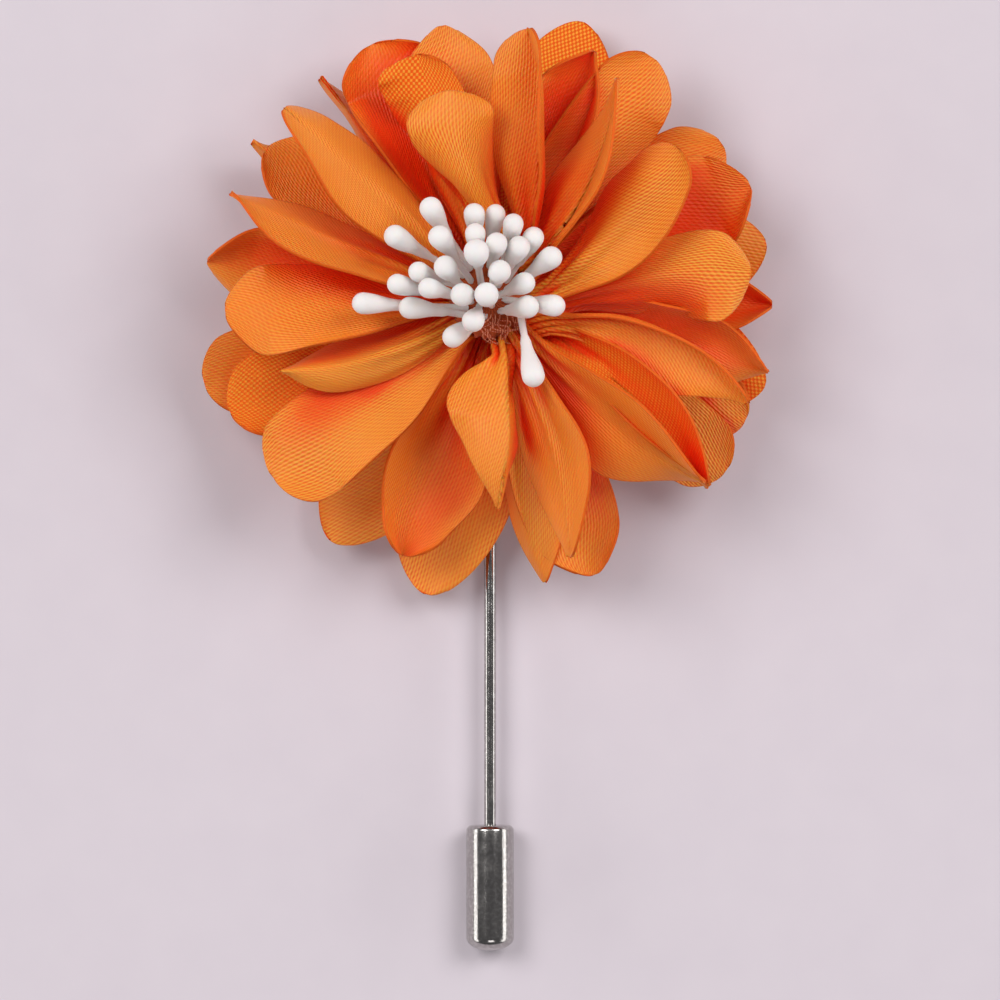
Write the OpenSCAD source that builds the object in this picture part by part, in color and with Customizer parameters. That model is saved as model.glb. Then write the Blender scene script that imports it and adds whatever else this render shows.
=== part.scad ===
// Flower lapel pin: a satin flower of single petals gathered around a thread-bound core, a tuft of
// stamens, and a stick pin with a push-on cap. Millimetres. The pin lies on its back on a flat
// surface at z = 0, the flower faces +Z, its top is +Y and the needle runs along -Y.

/* [Petals] */
// Width of a petal's cut blank across its widest place
blank_w = 12; // [11:0.5:12.5]
// Wall of the petal's cloth
cloth_wall = 1; // [0.6:0.1:1]
// Share of the width that is left where the petal is gathered
base_share = 0.3; // [0.25:0.01:0.35]
// Place of the widest section along the blade, as a share of its length
widest_at = 0.7; // [0.6:0.05:0.8]
// Share of the width that the blade loses between its widest section and its tip
tip_narrowing = 0.24; // [0.2:0.02:0.3]
// How far the tip's corners fall back behind its middle, as a share of the blade's length
tip_rounding = 0.3; // [0.26:0.02:0.34]

/* [Core and stamens] */
// Radius of the thread-bound core
core_r = 3.6; // [3:0.1:3.7]
// Height of the core's underside
core_z = 3.1; // [3.05:0.05:3.5]
// Height of the core's domed top
core_top_z = 13.4; // [12.8:0.1:13.4]
// Distance from a stamen's thickest section back to where its stalk starts
bulb_len = 3.2; // [2.8:0.1:3.6]
// Radius of a stamen's stalk below its bulb
stalk_r = 0.38; // [0.3:0.01:0.4]
// Radius of a stamen's stalk at its foot
root_r = 0.32; // [0.25:0.01:0.35]
// Place of the tuft's middle across the flower
tuft_x = -0.7; // [-0.8:0.05:-0.6]
// Place of the tuft's middle along the flower
tuft_y = 0.9; // [0.8:0.05:1]
// Height of the stamens' feet
tuft_z = 13.7; // [13.7:0.05:13.9]

/* [Stick pin] */
// Diameter of the needle
needle_d = 1.1; // [0.9:0.05:1.1]
// Distance from the flower's centre to the needle's point
needle_reach = 57; // [56:0.5:57]
// Length of the needle's tapered point
point_len = 8.9; // [7:0.1:8.9]
// Radius of the round pad that the needle is soldered to
pad_r = 3.8; // [3:0.1:3.9]
// Thickness of the pad
pad_t = 1; // [0.8:0.05:1.1]
// How far the needle runs into the pad past the flower's centre
needle_root = 2.6; // [1:0.1:3]
// Diameter of the solder collar around the needle's root, under the pad
collar_d = 1.6; // [1.3:0.1:1.6]

/* [Cap] */
// Outer diameter of the cap
cap_d = 4.36; // [4:0.02:4.36]
// Length of the cap
cap_len = 11.5; // [11:0.1:12.5]
// Distance from the flower's centre to the cap's mouth
cap_mouth = 48; // [47.9:0.1:48]
// Diameter of the hole that takes the needle
bore_d = 1.2; // [1.2:0.02:1.3]
// Depth of that hole
bore_depth = 9.5; // [9.2:0.1:9.8]
// Height of the cap's domed end
dome_h = 1.2; // [0.8:0.1:1.5]
// Chamfer around the cap's mouth
mouth_chamfer = 0.3; // [0.2:0.05:0.4]

/* [Hidden] */
$fn = 64;
// place of the flower's centre, so that the whole pin sits over the origin
FLOWER = [0.3, 16.8, 0];
SATIN = [0.94, 0.42, 0.08];
THREAD = [0.62, 0.16, 0.06];
NICKEL = [0.78, 0.79, 0.8];
PIP = [0.95, 0.94, 0.93];
// the needle's axis lies as high as the cap's, which rests on the surface
needle_z = cap_d / 2;
needle_r = needle_d / 2;

// Columns of the petal tables. Angles are in degrees, counterclockwise as seen from above.
AROUND = 0;     // direction of the petal's foot from the flower's centre
LEAN = 1;       // how far the blade sets off away from straight outward
SWEEP = 2;      // how far its heading turns along its length
START = 3;      // distance of its foot from the centre
HEIGHT = 4;     // height of its foot
RISE = 5;       // slope at the foot
FALL = 6;       // slope at the tip
ROLL_FOOT = 7;  // roll about its own length at the foot
ROLL_TIP = 8;   // the same at the tip
CUP_FOOT = 9;   // curl across the blade at the foot; negative bends both edges down
CUP_CW = 10;    // curl towards the tip on the clockwise side
CUP_CCW = 11;   // curl towards the tip on the counterclockwise side
REACH = 12;     // length of blade that shows

// Petals around the stamens, clockwise from the top
TOP_RING = [
    // around lean sweep start height rise fall roll_foot roll_tip cup_foot cup_cw cup_ccw reach
    [91.5, 12, 12, 5, 13.2, 50, -10, -12, -6, -200, -50, -50, 16.5],
    [69, 12, 8, 4.4, 12, 20, 4, -56, -50, -60, -40, -60, 22],
    [46, 8, 16, 5, 13, 24, 6, -60, -62, -60, -60, -30, 20],
    [20, 14, 10, 5.6, 13.6, 20, 8, -20, -25, -60, -80, -90, 19.5],
    [-2, 9, 8, 5.6, 12.4, 14, 3, 10, 10, -60, -40, -40, 21],
    [-24, 0, 4, 6.8, 12.5, 16, 0, 50, 40, -60, -60, -80, 22],
    [-36, -2, 0, 5.7, 12, 16, 1, 60, 60, -80, -60, -60, 22.5],
    [-52, 4, 5, 4.4, 12.5, 14, -2, 60, 50, -80, -60, -60, 21],
    [-73.5, 2, 6, 4.4, 12.6, 20, -5, 55, 40, -80, -40, -90, 21],
    [-96, 2, 2, 5, 14, 45, -15, -10, -35, -160, -50, -110, 16.5],
    [-132, -8, -4, 4.4, 12, 16, -8, 50, 15, -60, 40, -30, 22],
    [-156, -8, -4, 4.4, 12, 20, 0, 50, 55, -80, -40, -60, 17],
    [182, 0, 2, 5, 12.5, 16, 0, 55, 20, -60, -90, -30, 21],
    [159.5, -2, -2, 4.4, 12, 20, 3, 55, 50, -80, -60, -60, 22],
    [139, -2, 0, 4.4, 12.2, 18, 3, 50, 40, -80, -40, -60, 22.5],
];
// Petals that show between and behind them
MIDDLE_RING = [
    // around lean sweep start height rise fall roll_foot roll_tip cup_foot cup_cw cup_ccw reach
    [100, 0, 2, 4.4, 8, 4, 2, -10, -10, 0, -20, 280, 22],
    [74, 0, 2, 6.2, 7.4, 4, 0, -40, -45, -40, -80, -40, 20],
    [48, 2, 8, 5, 8.4, 6, 0, -45, -20, -40, -40, -40, 23],
    [25, 0, -4, 4.4, 8.4, 6, 0, -35, -12, -40, -40, -40, 21.5],
    [-13, 0, -2, 4.4, 10.6, 2, -2, 30, 6, -40, -40, -40, 22.5],
    [-67, 0, 0, 5, 5.4, 4, -4, 60, 20, -40, -40, -40, 22],
    [-81, 0, 2, 5, 8.7, 4, -4, 40, 20, -40, -20, -60, 22],
    [-109, 0, 0, 5, 9.2, 6, -6, 10, -10, 0, 60, 60, 20],
    [-149, 0, -2, 7, 9, 4, -6, 45, 25, -40, -40, -40, 22],
    [180, 0, 0, 4.4, 6.2, 4, -6, 55, 25, -40, -40, -60, 22],
    [150, 0, -2, 7.2, 7.2, 6, -4, 50, 25, -40, -40, -40, 20],
];
// Petals nearest to the surface
LOWER_RING = [
    // around lean sweep start height rise fall roll_foot roll_tip cup_foot cup_cw cup_ccw reach
    [111.5, 0, 4, 5.4, 5.8, 6, 2, 30, 0, 0, 0, 80, 21],
    [71, 0, 2, 5, 3.6, 2, -4, -38, -12, -40, -40, -40, 22],
    [33, 0, 2, 5.6, 6.2, 2, -8, -40, -12, -40, -40, -40, 22],
    [12, 0, 0, 4.4, 3.3, 2, -4, 30, 8, -40, -40, -40, 21.5],
    [-2, 0, 0, 4.4, 4.8, 2, -6, 30, 10, -40, -40, -40, 22],
    [-17, 0, 0, 4.4, 5.4, 2, -8, 40, 10, -40, -40, -40, 22],
    [-27, 0, 0, 5.8, 6, 2, -6, 40, 4, -40, -40, -40, 22.5],
    [-38, 0, 4, 5.6, 6.4, 2, -5, 40, 10, -40, -40, -40, 22.5],
    [-102, 0, 0, 5, 3.6, 2, -1, 38, 15, -40, -40, -40, 22.5],
    [-124, 0, 2, 4.4, 4.8, 2, -6, 35, 15, -40, -40, -40, 22],
    [-166, 0, 0, 4.4, 4.1, 2, -8, 35, 15, -40, -40, -40, 23.5],
    [149, 0, 0, 5, 5.1, 2, -8, 52, 15, -40, -40, -40, 22],
    [129.5, 0, -4, 5, 5.3, 4, 0, 58, 60, -40, -40, -40, 22],
];

// Rings of feet that the stamens spring from: count, radius, direction of the first
FOOT_RINGS = [
    [3, 0.65, -20],
    [9, 1.65, -20],
    [15, 2.75, 2],
];
// Middle of each stamen's bulb and the bulb's diameter, in the order of the feet
STAMENS = [
    // x, y, z, diameter
    [0.9, 2.3, 21.8, 2],
    [-1.2, 4, 22.9, 2.3],
    [-2.5, 0.2, 21, 2.1],
    [3.1, 1.3, 19.2, 2],
    [2.6, 4.5, 20, 2],
    [0.6, 4.8, 21.2, 2],
    [-1.3, 5.7, 20.9, 1.9],
    [-4.5, 5.4, 20.6, 2],
    [-4, 2.7, 20.8, 2],
    [-5.5, 0.8, 21, 1.9],
    [-1.5, -2.1, 19.2, 2],
    [-0.3, 0.2, 21.8, 2.1],
    [5.5, 3.6, 18.8, 2],
    [3.9, 5.4, 18.4, 2],
    [2.1, 6.6, 19.5, 1.9],
    [0.5, 7.5, 18.1, 1.9],
    [-1.4, 7.5, 19.6, 1.9],
    [-5.3, 8, 19.8, 2],
    [-8.5, 5.5, 19.3, 2],
    [-6.4, 2.3, 19.4, 1.9],
    [-8.3, 1.2, 18.9, 1.9],
    [-11.4, -0.5, 18.4, 2],
    [-7.2, -0.9, 18, 2],
    [-3.3, -3.5, 17, 2],
    [3.9, -7, 18, 2.1],
    [3.4, -0.8, 18, 2],
    [5.8, -0.7, 17.6, 2],
];

// Sections along a petal and strips across it
sections = 8;
strips = 5;
// the sections crowd towards the tip, where the outline turns fastest
section_crowding = 1.15;
// share of the length over which a petal's curl grows to its tip value
curl_share = 0.8;

function two_digits(n) = n < 10 ? str("0", n) : str(n);
function petal_name(ring, i) = str("petal_", ring, "_", two_digits(i + 1));
function ring_names(ring, rows) = [for (i = [0:len(rows) - 1]) petal_name(ring, i)];

// sine of an angle over the angle itself, which gives the chord of an arc from its length
function chord_share(angle) = abs(angle) < 0.001 ? 1 : sin(angle) * 180 / (PI * angle);

// half the blade's width at share u of its length
function half_width(u) = blank_w / 2 * (u < widest_at
    ? base_share + (1 - base_share) * sin(90 * u / widest_at)
    : 1 - tip_narrowing * pow((u - widest_at) / (1 - widest_at), 2));

// point of the blade at share u along it and v across it (-1 clockwise edge, 1 counterclockwise
// edge), on its upper side (side = 1) or its underside (side = -1)
function blade_point(petal, u, v, side) = let(
    reach = petal[REACH],
    along = reach * (u - tip_rounding * pow(u, 3) * v * v),
    across_w = v * half_width(u),
    share = along / reach,
    // the spine is an arc seen from the side
    bend = (petal[FALL] - petal[RISE]) * share,
    slope = petal[RISE] + bend,
    run = along * chord_share(bend / 2) * cos(petal[RISE] + bend / 2),
    climb = along * chord_share(bend / 2) * sin(petal[RISE] + bend / 2),
    half_bend = (petal[FALL] - petal[RISE]) / 2,
    full_run = max(reach * chord_share(half_bend) * cos(petal[RISE] + half_bend), 0.3 * reach),
    // and an arc seen from above
    set_off = petal[AROUND] + petal[LEAN],
    turn = petal[SWEEP] * run / full_run,
    heading = set_off + turn,
    advance = run * chord_share(turn / 2),
    spine = [
        petal[START] * cos(petal[AROUND]) + advance * cos(set_off + turn / 2),
        petal[START] * sin(petal[AROUND]) + advance * sin(set_off + turn / 2),
        petal[HEIGHT] + climb,
    ],
    // the section's own axes, rolled about the spine
    level = [-sin(heading), cos(heading), 0],
    upright = [-sin(slope) * cos(heading), -sin(slope) * sin(heading), cos(slope)],
    roll = petal[ROLL_FOOT] + (petal[ROLL_TIP] - petal[ROLL_FOOT]) * share,
    across = cos(roll) * level + sin(roll) * upright,
    normal = cos(roll) * upright - sin(roll) * level,
    // the section is an arc on either side of the spine
    tip_cup = across_w > 0 ? petal[CUP_CCW] : petal[CUP_CW],
    cup = petal[CUP_FOOT] + (tip_cup - petal[CUP_FOOT]) * min(1, share / curl_share),
    arc = cup * across_w / blank_w
) spine
    + across_w * chord_share(arc) * across
    + across_w * chord_share(arc / 2) * sin(arc / 2) * normal
    + side * cloth_wall / 2 * (cos(arc) * normal - sin(arc) * across);

// One blade of cloth: upper skin, underside and the rim between them
module satin_petal(petal) {
    per_section = strips + 1;
    per_side = (sections + 1) * per_section;
    skins = [for (side = [1, -1], i = [0:sections], j = [0:strips])
        blade_point(petal, 1 - pow(1 - i / sections, section_crowding), 2 * j / strips - 1, side)];
    upper = [for (i = [0:sections - 1], j = [0:strips - 1], half = [0, 1])
        let(a = i * per_section + j, b = a + per_section)
        half == 0 ? [a, b + 1, b] : [a, a + 1, b + 1]];
    under = [for (f = upper) [f[2] + per_side, f[1] + per_side, f[0] + per_side]];
    border = concat(
        [for (j = [0:strips - 1]) j],
        [for (i = [0:sections - 1]) i * per_section + strips],
        [for (j = [0:strips - 1]) per_side - 1 - j],
        [for (i = [0:sections - 1]) (sections - i) * per_section]);
    rim = [for (k = [0:len(border) - 1], half = [0, 1])
        let(a = border[k], b = border[(k + 1) % len(border)])
        half == 0 ? [a, b + per_side, b] : [a, a + per_side, b + per_side]];
    color(SATIN)
        translate(FLOWER)
            polyhedron(points = skins, faces = concat(upper, under, rim), convexity = 6);
}

// Petal feet gathered and bound with thread into a round core with a waist and a domed top
module gather_core() {
    waist = 0.25;
    height = core_top_z - core_z;
    dome = 1;
    side = [for (i = [0:8]) let(t = i / 8)
        [core_r - waist * sin(180 * t), core_z + t * (height - dome)]];
    top = [for (i = [1:6]) let(a = 90 * i / 6)
        [core_r * cos(a), core_top_z - dome + dome * sin(a)]];
    color(THREAD)
        translate(FLOWER)
            rotate_extrude()
                polygon(concat([[0, core_z]], side, top));
}

// Place of a stamen's foot, counted from the tuft's middle outward
function foot(k) = let(
    ring = k < 3 ? 0 : k < 12 ? 1 : 2,
    first = ring == 0 ? 0 : ring == 1 ? 3 : 12,
    a = FOOT_RINGS[ring][2] + (k - first) * 360 / FOOT_RINGS[ring][0]
) [
    tuft_x + FOOT_RINGS[ring][1] * cos(a),
    tuft_y + FOOT_RINGS[ring][1] * sin(a),
    tuft_z,
];

// Outline of a stamen that stands on the origin: thin stalk, teardrop bulb with a round end
module stamen_outline(length, r) {
    neck = [for (i = [0:6]) let(t = i / 6)
        [stalk_r + (r - stalk_r) * (1 - cos(180 * t)) / 2, length - bulb_len * (1 - t)]];
    end = [for (i = [1:6]) let(a = 90 * i / 6) [r * cos(a), length + r * sin(a)]];
    polygon(concat([[0, 0], [root_r, 0]], neck, end));
}

// Tuft of stamens that fans out over the petals
module stamens() {
    color(PIP)
        translate(FLOWER)
            for (k = [0:len(STAMENS) - 1]) {
                bulb = [STAMENS[k][0], STAMENS[k][1], STAMENS[k][2]];
                way = bulb - foot(k);
                tilt = acos(way[2] / norm(way));
                translate(foot(k))
                    rotate([0, tilt, atan2(way[1], way[0])])
                        rotate_extrude()
                            stamen_outline(norm(way), STAMENS[k][3] / 2);
            }
}

// Needle soldered into a round pad under the flower
module stick_pin() {
    color(NICKEL)
        translate(FLOWER) {
            translate([0, 0, core_z - 0.1 - pad_t])
                cylinder(r = pad_r, h = pad_t);
            translate([0, 0, needle_z])
                rotate([90, 0, 0]) {
                    translate([0, 0, -needle_root])
                        cylinder(r = needle_r, h = needle_root + needle_reach - point_len);
                    translate([0, 0, -needle_root])
                        cylinder(d = collar_d, h = needle_root + pad_r);
                    translate([0, 0, needle_reach - point_len])
                        cylinder(r1 = needle_r, r2 = 0.06, h = point_len);
                }
        }
}

// Cap pushed over the needle's point: blind bore, chamfered mouth and domed end
module cap() {
    r = cap_d / 2;
    shoulder = cap_len - dome_h;
    dome = [for (i = [1:8]) let(a = 90 * i / 8) [r * cos(a), shoulder + dome_h * sin(a)]];
    color(NICKEL)
        translate(FLOWER + [0, -cap_mouth, needle_z])
            rotate([90, 0, 0])
                rotate_extrude()
                    polygon(concat(
                        [[0, bore_depth], [bore_d / 2, bore_depth], [bore_d / 2, 0]],
                        [[r - mouth_chamfer, 0], [r, mouth_chamfer], [r, shoulder]],
                        dome));
}

stick_pin();
cap();
gather_core();
stamens();
for (i = [0:len(TOP_RING) - 1])
    satin_petal(TOP_RING[i]);
for (i = [0:len(MIDDLE_RING) - 1])
    satin_petal(MIDDLE_RING[i]);
for (i = [0:len(LOWER_RING) - 1])
    satin_petal(LOWER_RING[i]);
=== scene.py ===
"""Flower lapel pin: gathered orange satin petals, a tuft of white stamens, a stick pin and its cap.

The pin lies on its back on a pale floor, and the camera looks straight down on it. Lengths are in
millimetres and angles in degrees until a mesh is made, where MM turns them into metres.
A share along a petal runs from 0 at its foot to 1 at its tip. Its v runs across it, from -1 at the
rim of its clockwise side (cw) through 0 at its keel to 1 at the rim of its other side (ccw).
"""
import math

import bpy
import numpy as np
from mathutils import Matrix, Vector
from mathutils.bvhtree import BVHTree


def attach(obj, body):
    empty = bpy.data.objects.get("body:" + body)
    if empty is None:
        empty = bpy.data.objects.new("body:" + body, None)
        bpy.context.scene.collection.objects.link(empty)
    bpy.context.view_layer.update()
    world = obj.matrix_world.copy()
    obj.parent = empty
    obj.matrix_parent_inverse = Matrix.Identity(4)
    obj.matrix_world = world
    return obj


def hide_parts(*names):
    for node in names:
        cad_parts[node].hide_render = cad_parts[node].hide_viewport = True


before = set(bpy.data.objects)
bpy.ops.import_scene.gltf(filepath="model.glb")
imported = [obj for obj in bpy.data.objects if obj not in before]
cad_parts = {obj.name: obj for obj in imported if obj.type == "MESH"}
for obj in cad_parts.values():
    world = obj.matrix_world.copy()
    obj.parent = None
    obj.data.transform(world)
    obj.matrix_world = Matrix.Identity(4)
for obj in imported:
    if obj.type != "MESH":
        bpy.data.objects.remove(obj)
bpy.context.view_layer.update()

MM = 0.001
# the flower's centre in the part's frame
FLOWER_X, FLOWER_Y = 0.3, 16.8

# ---- the flat blank that every petal is cut from ----
BLANK_W = 12.0
# its width at the foot as a share of the full width, the share of its length where it is widest,
# the two powers of its rounded tip, and the least that is left there
BASE_SHARE = 0.3
WIDEST_AT = 0.6
TIP_POWERS = (1.4, 0.6)
LEAST_W = 0.02
# the satin, and the melted bead along its edge, which thins to the satin over EDGE_FADE
SATIN_T = 0.2
EDGE_T = 0.24
EDGE_FADE = 0.2
# how far the bead stands out, as a share of its thickness
BEAD_OUT = 0.45

# ---- where the petals are ----
# how many petals each ring has, from the stamens down, each counted clockwise from the top
RINGS = {"top": 15, "middle": 11, "lower": 13}
# A keel is the line along a petal's middle: the direction of its foot from the flower's centre, how
# far it leans away from that direction, how far it turns on its way, how far out and how high it
# starts, its slope at the foot and at the tip, and its length. A steep keel turns as if it ran out
# at least LEAST_RUN of its length.
LEAST_RUN = 0.3
# Each petal that shows: its keel, then for its cw and its ccw side how wide the side shows from
# above at WIDTH_SHARES and where the rest of the cloth goes, 1 up to -1 down. The last two are how
# sharp the keel's fold is and how blunt the tip is, each 0 to 1.
WIDTH_SHARES = (0.12, 0.35, 0.6, 0.85, 1.0)
DRESS = {
    "petal_top_01": ((70, 62, -36, 6, 13.2, 45, -10, 15.8),
     (0.9, 1.8, 2.9, 3.8, 3.4), -0.5, (0.9, 1.6, 2.9, 4.1, 3.4), -0.6, 0.2, 0.8),
    "petal_top_02": ((52, 26, 24, 5.6, 12, 20, 4, 20.6),
     (0.3, 0.3, 0.3, 0.4, 0.6), 0.9, (1.8, 3.6, 4.3, 3.4, 2.6), -0.6, 0.3, 1),
    "petal_top_03": ((38, 7, 42, 5.2, 13, 24, 6, 19.3),
     (0.3, 0.4, 0.4, 0.3, 0.2), 0.9, (2, 3.5, 2.5, 1, 0.5), -0.8, 0.3, 0.3),
    "petal_top_04": ((8, 26, 30, 5.6, 13.6, 20, 8, 17.8),
     (1.6, 3, 3.4, 2.9, 2.2), 0.3, (1.6, 2.7, 3.6, 2.7, 1.8), -0.8, 0.2, 0.9),
    "petal_top_05": ((-4, 26, -26, 5.6, 12.4, 14, 3, 18.6),
     (1.4, 2.8, 3.6, 4.6, 3.4), -0.8, (1.4, 2.4, 3.2, 3.4, 1.8), -0.4, 0.2, 0.8),
    "petal_top_06": ((-22, 34, -68, 5.6, 12.5, 14, 0, 21),
     (1.8, 3.5, 5, 2.8, 0.5), -0.3, (0.4, 0.5, 0.4, 0.3, 0.2), 0.4, 0.3, 0.1),
    "petal_top_07": ((-30, 0, -28, 5.7, 10.6, 16, 1, 21),
     (1.2, 1.6, 1.7, 1, 0.2), 0.6, (1.4, 2.4, 2.9, 1.6, 0.3), 0.7, 0.4, 0.1),
    "petal_top_08": ((-50, 0, 24, 5, 12.5, 14, -2, 21),
     (1.4, 3, 4.2, 1.7, 0.4), -0.6, (1.4, 2.4, 2.7, 1.5, 0.3), 0.8, 0.3, 0.2),
    "petal_top_09": ((-68, 8, -28, 4.6, 12.6, 20, -5, 20.4),
     (1.4, 2.2, 2.3, 1.4, 0.4), -0.9, (1.4, 2.2, 3.3, 1.6, 0.4), 0.7, 0.5, 0.2),
    "petal_top_10": ((-76, -4, -24, 5, 14, 42, -14, 15.3),
     (3.8, 5.6, 4, 2.1, 0.4), -0.3, (0.3, 0.3, 0.3, 0.3, 0.2), -1, 0.2, 0.1),
    "petal_top_11": ((-132, -8, -4, 4.4, 11.2, 18, -8, 21.4),
     (1.8, 3.4, 4.6, 4.5, 3.4), -0.3, (1.8, 3.4, 4.2, 4.3, 3.4), 0.4, 0.1, 1),
    "petal_top_12": ((-150, 2, -32, 4.6, 12.6, 20, 0, 16),
     (1.6, 2.1, 2.1, 1.5, 0.3), -1, (1.6, 2.2, 2.3, 1.6, 0.3), -0.3, 0.3, 0.1),
    "petal_top_13": ((182, 0, 2, 5, 12.5, 16, 0, 19.2),
     (1.6, 3, 3.9, 3.7, 2.4), -0.8, (1.6, 2.9, 3.8, 4.1, 2.6), 0.4, 0.1, 0.7),
    "petal_top_14": ((163, -3, -6, 4.4, 12, 20, 3, 21.4),
     (1.4, 1.9, 1.9, 1, 0.2), -1, (1.4, 2, 2.3, 1.7, 0.2), 0.8, 0.3, 0.1),
    "petal_top_15": ((139, -2, 0, 4.4, 12.2, 18, 3, 21.3),
     (1.6, 2.6, 2.9, 2.2, 1.4), -0.9, (1.6, 2.6, 2.7, 1.6, 1), 0.6, 0.3, 0.7),
    "petal_middle_01": ((99, 1, 0, 4.6, 8, 4, 0, 20.8),
     (1.6, 3.2, 4.2, 3.6, 2), -0.3, (1.6, 3.2, 4, 3.8, 2), -0.4, 0.1, 0.7),
    "petal_middle_02": ((57, 18, -8, 6.2, 7.4, 5, 1, 18.6),
     (1.6, 2.8, 3, 2, 0.4), 0.9, (1.6, 3.2, 3.8, 3.4, 1.6), 0.6, 0.1, 0.2),
    "petal_middle_03": ((57.5, -1, 0, 4.6, 8.2, 4, 1, 22),
     (1.6, 3.2, 4.4, 4.2, 2.8), -0.4, (1.6, 3.2, 3.6, 3, 2.2), 0.5, 0.1, 0.9),
    "petal_middle_04": ((25, 0, -4, 4.4, 8.4, 6, 0, 21.5),
     (1.6, 3.4, 4.6, 4.2, 2.4), 0.8, (1.6, 3.4, 4.8, 4.4, 2.4), 0.5, 0.1, 0.7),
    "petal_middle_05": ((-12, -1, -4, 4.6, 9.4, 2, -4, 21.6),
     (1.6, 3.2, 4, 2.2, 0.5), -0.5, (1.6, 3, 3.4, 2.4, 0.8), 0.7, 0.1, 0.2),
    "petal_middle_06": ((-68, -1, -1, 4.6, 8, 2, -3, 22.2),
     (1.6, 3.2, 4.2, 4, 2.4), 0.2, (1.6, 3, 4, 3.6, 2), 0.4, 0.1, 0.6),
    "petal_middle_07": ((-80.5, 0, 4, 4.6, 8.2, 2, -3, 21.6),
     (1.6, 2.3, 2.1, 1.4, 0.6), -0.6, (1.6, 3, 3.2, 2.2, 0.8), 0.2, 0.2, 0.3),
    "petal_middle_08": ((-109, -2, 4, 5, 8.6, 2, -4, 19.6),
     (1.6, 3.2, 3.8, 2.6, 1.2), 1, (1.8, 3.8, 5.4, 3.4, 1.6), 0.5, 0.1, 1),
    "petal_middle_09": ((-155, -1, -2, 4.6, 8.4, 3, -2, 21.2),
     (1.6, 3.2, 4.2, 4, 2.8), -0.3, (1.6, 3, 3.6, 3.2, 2.2), 0.6, 0.1, 1),
    "petal_middle_10": ((173, 0, -2, 4.6, 8.6, 4, 0, 21.4),
     (1.6, 3.2, 3.8, 3.2, 1.8), 0.9, (1.6, 3, 3.6, 3, 1.8), -0.4, 0.3, 0.6),
    "petal_middle_11": ((148, -1, -2, 4.6, 8.2, 4, 0, 20),
     (1.6, 3.2, 4.2, 3.6, 2.2), -0.2, (1.6, 2.8, 3.4, 3, 2), 0.5, 0.1, 0.8),
    "petal_lower_01": ((112, 2, 4, 5.4, 5.8, 6, 2, 20.4),
     (1.6, 3.4, 5, 4.8, 2.8), 0.3, (1.4, 2.8, 3.8, 4.2, 3), 1, 0.1, 1),
    "petal_lower_03": ((34.5, 0, 0, 5.4, 5.4, 4, 0, 20.2),
     (1.6, 3, 4, 3.6, 2.4), -0.3, (1.6, 3, 4, 3.6, 2.4), -0.3, 0.1, 0.9),
    "petal_lower_05": ((0, 0, -2, 5.4, 5.6, 4, 0, 20.4),
     (1.4, 2.6, 3, 2.4, 1), 0.7, (1.4, 2.6, 3.2, 2.6, 1.2), 0.5, 0.2, 0.4),
    "petal_lower_07": ((-25, 0, 0, 5.4, 5, 4, 0, 20.4),
     (1.6, 3, 3.6, 3.3, 2.4), -0.3, (1.6, 3, 3.6, 3.3, 2.4), 0.3, 0.1, 1),
    "petal_lower_08": ((-35.5, 0, 0, 5.4, 5.6, 4, 0, 21.2),
     (1.6, 3, 3.8, 3.5, 2.6), -0.3, (1.6, 3, 3.8, 3.5, 2.6), 0.3, 0.1, 1),
    "petal_lower_11": ((196, 0, 0, 5.4, 5.4, 4, 0, 21.8),
     (1.6, 3, 3.8, 3.8, 2.8), -0.3, (1.6, 3, 3.8, 3.8, 2.8), 0.3, 0.1, 1),
    "petal_lower_12": ((146, 0, 0, 5.4, 5.2, 4, 0, 20.8),
     (1.2, 2, 2.2, 1.2, 0.3), -0.5, (1.2, 1.8, 1.8, 1, 0.3), -0.5, 0.2, 0.2),
    "petal_lower_13": ((127, 0, 0, 5.4, 5.4, 5, 3, 20.2),
     (1.2, 1.6, 1.2, 0.7, 0.3), -1, (1.2, 1.2, 0.8, 0.4, 0.3), -1, 0.4, 0.2),
}
# flap of the petal behind the stamens: the edge of a blank, folded over with its back up
FLAP = ((98, 14, -4, 6.5, 9.6, 12, 4, 17),
     (0.8, 1.8, 3, 2.6, 1.4), 0.1, (0.6, 1.8, 3.1, 4, 4.8), -1, 0.1, 1)
# Petals of which little shows under the others: the keel without its length, the roll about the
# keel at foot and tip, the cup at the foot, at the tip's cw side and at its ccw side, the length.
PLAIN = {
    "petal_lower_02": (71, 0, 2, 5, 3.6, 2, -4, -38, -12, -40, -40, -40, 22),
    "petal_lower_04": (12, 0, 0, 4.4, 3.3, 2, -4, 30, 8, -40, -40, -40, 21.5),
    "petal_lower_06": (-17, 0, 0, 4.4, 5.4, 2, -8, 40, 10, -40, -40, -40, 22),
    "petal_lower_09": (-102, 0, 0, 5, 3.6, 2, -1, 38, 15, -40, -40, -40, 22.5),
    "petal_lower_10": (-124, 0, 2, 4.4, 4.8, 2, -6, 35, 15, -40, -40, -40, 22),
}
# the share of a plain petal's length where its sides reach their full cup
CURL_SHARE = 0.8
# petals that were gathered with their matte side up
BACK_UP = {"petal_lower_02", "petal_lower_06", "petal_middle_09", "petal_top_07", "fold_flap"}

# ---- how a folded petal closes at its foot and its tip ----
FOOT_W = 1.1
LEAST_SHOWN = 0.15
# the tip closes over this share of the length, less for a blunt one
TIP_CLOSE = 0.34
BLUNT_SAVES = 0.22
# how much of the blank's width the gathers leave, and the share from which on it stays as it is
CLOTH_SHARE = 0.95
FULL_WIDTH_TO = 0.8
# how far out and how far up a side bends, up only at a sharply folded keel
SIDE_BEND = 0.62
CREASE_BOW = 0.5

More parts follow.
